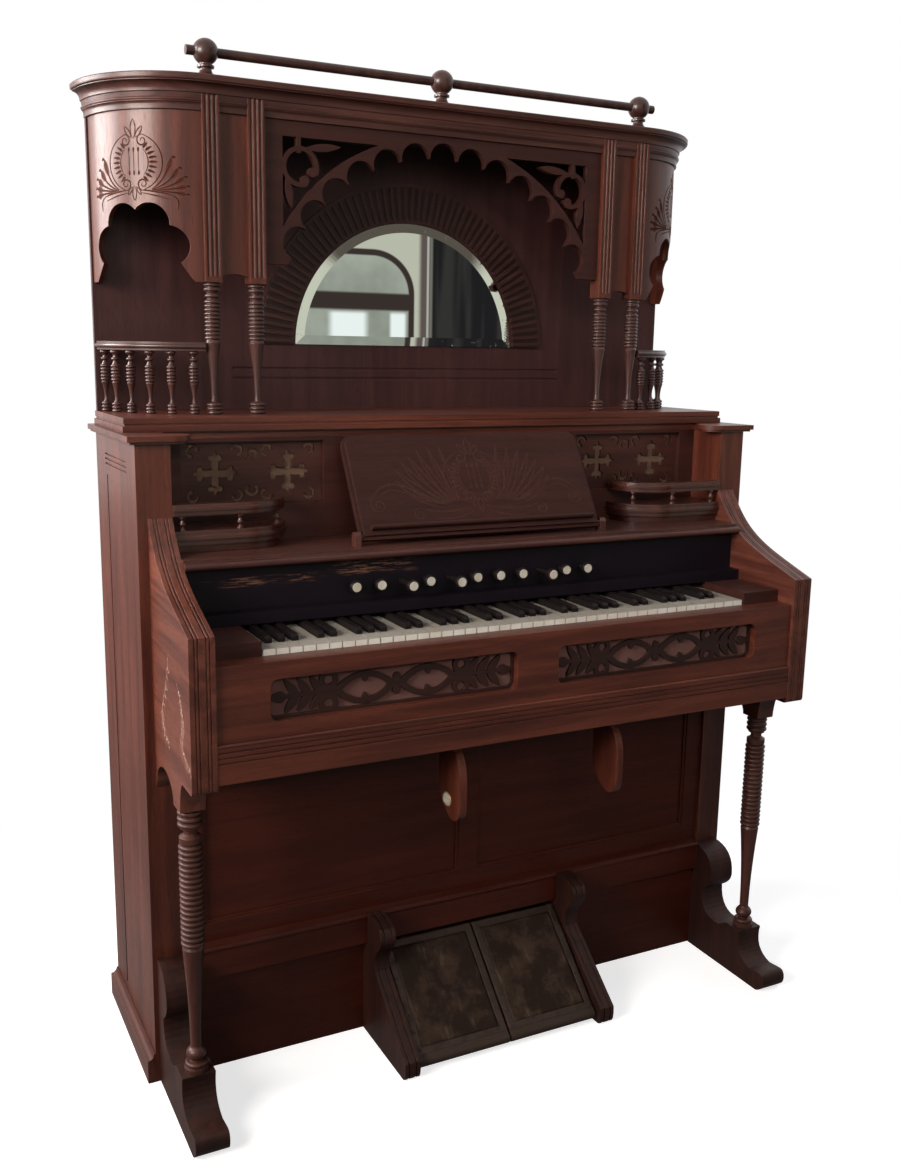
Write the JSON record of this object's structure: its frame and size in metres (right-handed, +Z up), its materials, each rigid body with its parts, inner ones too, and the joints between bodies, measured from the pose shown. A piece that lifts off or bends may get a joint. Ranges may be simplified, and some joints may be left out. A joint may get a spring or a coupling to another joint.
{
  "type": "reed organ",
  "caption": "Upright parlour reed organ with a keyboard between curved arms, drawn stops, treadles, knee levers, a sloping music desk and a mirror-backed canopy under a top rail.",
  "frame": {"origin": "on the floor under the middle of the bounding box", "axes": "+X to the player's right, +Y towards the back, +Z up"},
  "size_m": [1.36, 0.6, 1.896],
  "materials": {
    "walnut": "red-brown varnish, rubbed and dulled",
    "walnut_dark": "thin varnish, darkened",
    "walnut_turned": "varnished turnings with polished rings",
    "walnut_carved": "varnished boards with incised ornament",
    "cloth_pink": "faded woven cloth",
    "cloth_olive": "faded woven cloth",
    "ivory": "key coverings, slightly yellowed",
    "ebony": "stained black, worn smooth",
    "black_wood": "black paint worn through to wood",
    "knob": "black knobs with pale faces",
    "mirror": "bevelled silvered glass",
    "treadle_wood": "worn floor covering in metal rims"
  },
  "bodies": {
    "case": {"left_side": "walnut", "right_side": "walnut", "case_back": "walnut_dark", "case_floor": "walnut_dark", "plinth": "walnut", "lower_frame": "walnut", "lower_panels": "walnut", "base_rail": "walnut", "kick_board": "walnut_dark", "feet": "walnut", "front_columns": "walnut_turned", "left_arm": "walnut_carved", "right_arm": "walnut_carved", "key_bed": "walnut_dark", "key_slip": "walnut", "slip_frets": "walnut", "slip_cloth": "cloth_pink", "key_blocks": "walnut_dark", "white_keys": "ivory", "black_keys": "ebony", "name_strip": "black_wood", "stop_board": "black_wood", "shelf": "walnut", "fret_wall": "walnut", "upper_frets": "walnut", "upper_cloth": "cloth_olive", "lamp_shelves": "walnut", "case_top": "walnut", "canopy_base": "walnut", "canopy_back": "walnut", "mirror_glass": "mirror", "mirror_fan": "walnut_carved", "left_end": "walnut_carved", "right_end": "walnut_carved", "pilasters": "walnut_turned", "canopy_columns": "walnut_turned", "galleries": "walnut_turned", "arch_panel": "walnut_carved", "bay_panels": "walnut", "cornice": "walnut", "gallery_posts": "walnut_turned", "gallery_rod": "walnut_turned", "treadle_frame": "walnut"},
    "stop_01": {"stop_01": "knob"},
    "stop_02": {"stop_02": "knob"},
    "stop_03": {"stop_03": "knob"},
    "stop_04": {"stop_04": "knob"},
    "stop_05": {"stop_05": "knob"},
    "stop_06": {"stop_06": "knob"},
    "stop_07": {"stop_07": "knob"},
    "stop_08": {"stop_08": "knob"},
    "stop_09": {"stop_09": "knob"},
    "stop_10": {"stop_10": "knob"},
    "stop_11": {"stop_11": "knob"},
    "music_desk": {"music_desk": "walnut_carved"},
    "left_treadle": {"left_treadle": "treadle_wood"},
    "right_treadle": {"right_treadle": "treadle_wood"},
    "left_knee_lever": {"left_knee_lever": "walnut"},
    "right_knee_lever": {"right_knee_lever": "walnut"}
  },
  "joints": [
    {"name": "stop_01_draw", "type": "slide", "parent": "case", "child": "stop_01", "axis": [0, -1, 0], "range_m": [0, 0.03]},
    {"name": "stop_02_draw", "type": "slide", "parent": "case", "child": "stop_02", "axis": [0, -1, 0], "range_m": [0, 0.03]},
    {"name": "stop_03_draw", "type": "slide", "parent": "case", "child": "stop_03", "axis": [0, -1, 0], "range_m": [-0.03, 0]},
    {"name": "stop_04_draw", "type": "slide", "parent": "case", "child": "stop_04", "axis": [0, -1, 0], "range_m": [0, 0.03]},
    {"name": "stop_05_draw", "type": "slide", "parent": "case", "child": "stop_05", "axis": [0, -1, 0], "range_m": [-0.03, 0]},
    {"name": "stop_06_draw", "type": "slide", "parent": "case", "child": "stop_06", "axis": [0, -1, 0], "range_m": [0, 0.03]},
    {"name": "stop_07_draw", "type": "slide", "parent": "case", "child": "stop_07", "axis": [0, -1, 0], "range_m": [0, 0.03]},
    {"name": "stop_08_draw", "type": "slide", "parent": "case", "child": "stop_08", "axis": [0, -1, 0], "range_m": [0, 0.03]},
    {"name": "stop_09_draw", "type": "slide", "parent": "case", "child": "stop_09", "axis": [0, -1, 0], "range_m": [-0.03, 0]},
    {"name": "stop_10_draw", "type": "slide", "parent": "case", "child": "stop_10", "axis": [0, -1, 0], "range_m": [0, 0.03]},
    {"name": "stop_11_draw", "type": "slide", "parent": "case", "child": "stop_11", "axis": [0, -1, 0], "range_m": [0, 0.03]},
    {"name": "desk_fold", "type": "hinge", "parent": "case", "child": "music_desk", "pos_m": [0, -0.083, 1.021], "axis": [1, 0, 0], "range_deg": [0, 50]},
    {"name": "left_treadle_press", "type": "hinge", "parent": "case", "child": "left_treadle", "pos_m": [-0.1, -0.229, 0.018], "axis": [-1, 0, 0], "range_deg": [0, 18], "stiffness_Nm_per_rad": 12, "springref_deg": -14.32},
    {"name": "right_treadle_press", "type": "hinge", "parent": "case", "child": "right_treadle", "pos_m": [0.1, -0.229, 0.018], "axis": [-1, 0, 0], "range_deg": [0, 18], "stiffness_Nm_per_rad": 12, "springref_deg": -14.32},
    {"name": "left_knee_swing", "type": "hinge", "parent": "case", "child": "left_knee_lever", "pos_m": [-0.145, -0.231, 0.672], "axis": [0, 1, 0], "range_deg": [0, 22], "stiffness_Nm_per_rad": 3, "springref_deg": -8.59},
    {"name": "right_knee_swing", "type": "hinge", "parent": "case", "child": "right_knee_lever", "pos_m": [0.196, -0.231, 0.672], "axis": [0, -1, 0], "range_deg": [0, 22], "stiffness_Nm_per_rad": 3, "springref_deg": -8.59}
  ]
}
